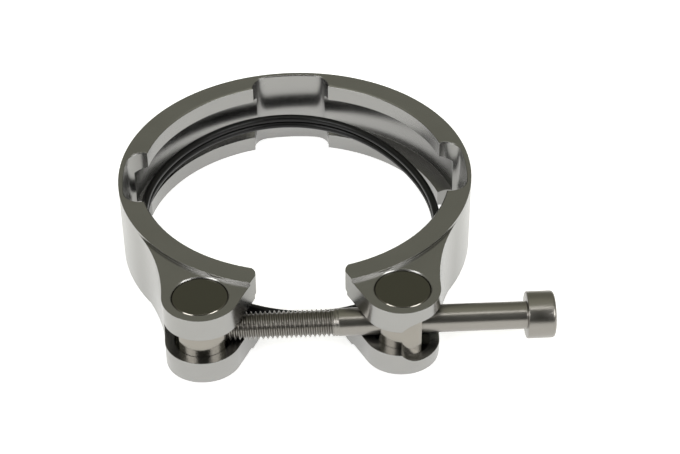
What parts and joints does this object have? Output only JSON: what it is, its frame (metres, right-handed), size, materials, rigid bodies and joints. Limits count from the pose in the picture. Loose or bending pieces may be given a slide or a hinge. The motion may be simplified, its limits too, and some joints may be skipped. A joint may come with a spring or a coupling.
{
  "type": "v band clamp",
  "caption": "One-piece machined V band clamp with forked lugs, cross trunnions and a socket head screw, holding rubber seal rings for a pipe flange joint.",
  "frame": {"origin": "on the band's axis, at its bottom face", "axes": "+Z along the pipe joint's axis; the gap and the lugs face -Y; +X along the screw, towards its head"},
  "size_m": [0.0942, 0.0899, 0.0187],
  "materials": {
    "band_aluminium": "fine turned, satin bright",
    "trunnion_steel": "turned and polished",
    "screw_steel": "bright nickel-plated steel",
    "seal_rubber": "smooth satin black"
  },
  "bodies": {
    "band": {"clamp_band": "band_aluminium", "seal_ring_lower": "seal_rubber", "seal_ring_upper": "seal_rubber"},
    "nut_trunnion": {"threaded_trunnion": "trunnion_steel"},
    "screw": {"clamp_screw": "screw_steel"},
    "seat_trunnion": {"plain_trunnion": "trunnion_steel"}
  },
  "joints": [
    {"name": "threaded_trunnion_pivot", "type": "hinge", "parent": "band", "child": "nut_trunnion", "pos_m": [-0.0214, -0.04155, 0.0091], "axis": [0, 0, 1], "range_deg": [-0.3, 0.3]},
    {"name": "screw_travel", "type": "slide", "parent": "nut_trunnion", "child": "screw", "axis": [1, 0, 0], "range_m": [-0.0225, 0.004]},
    {"name": "plain_trunnion_pivot", "type": "hinge", "parent": "band", "child": "seat_trunnion", "pos_m": [0.0214, -0.04155, 0.0091], "axis": [0, 0, 1], "range_deg": [-2, 2]}
  ]
}
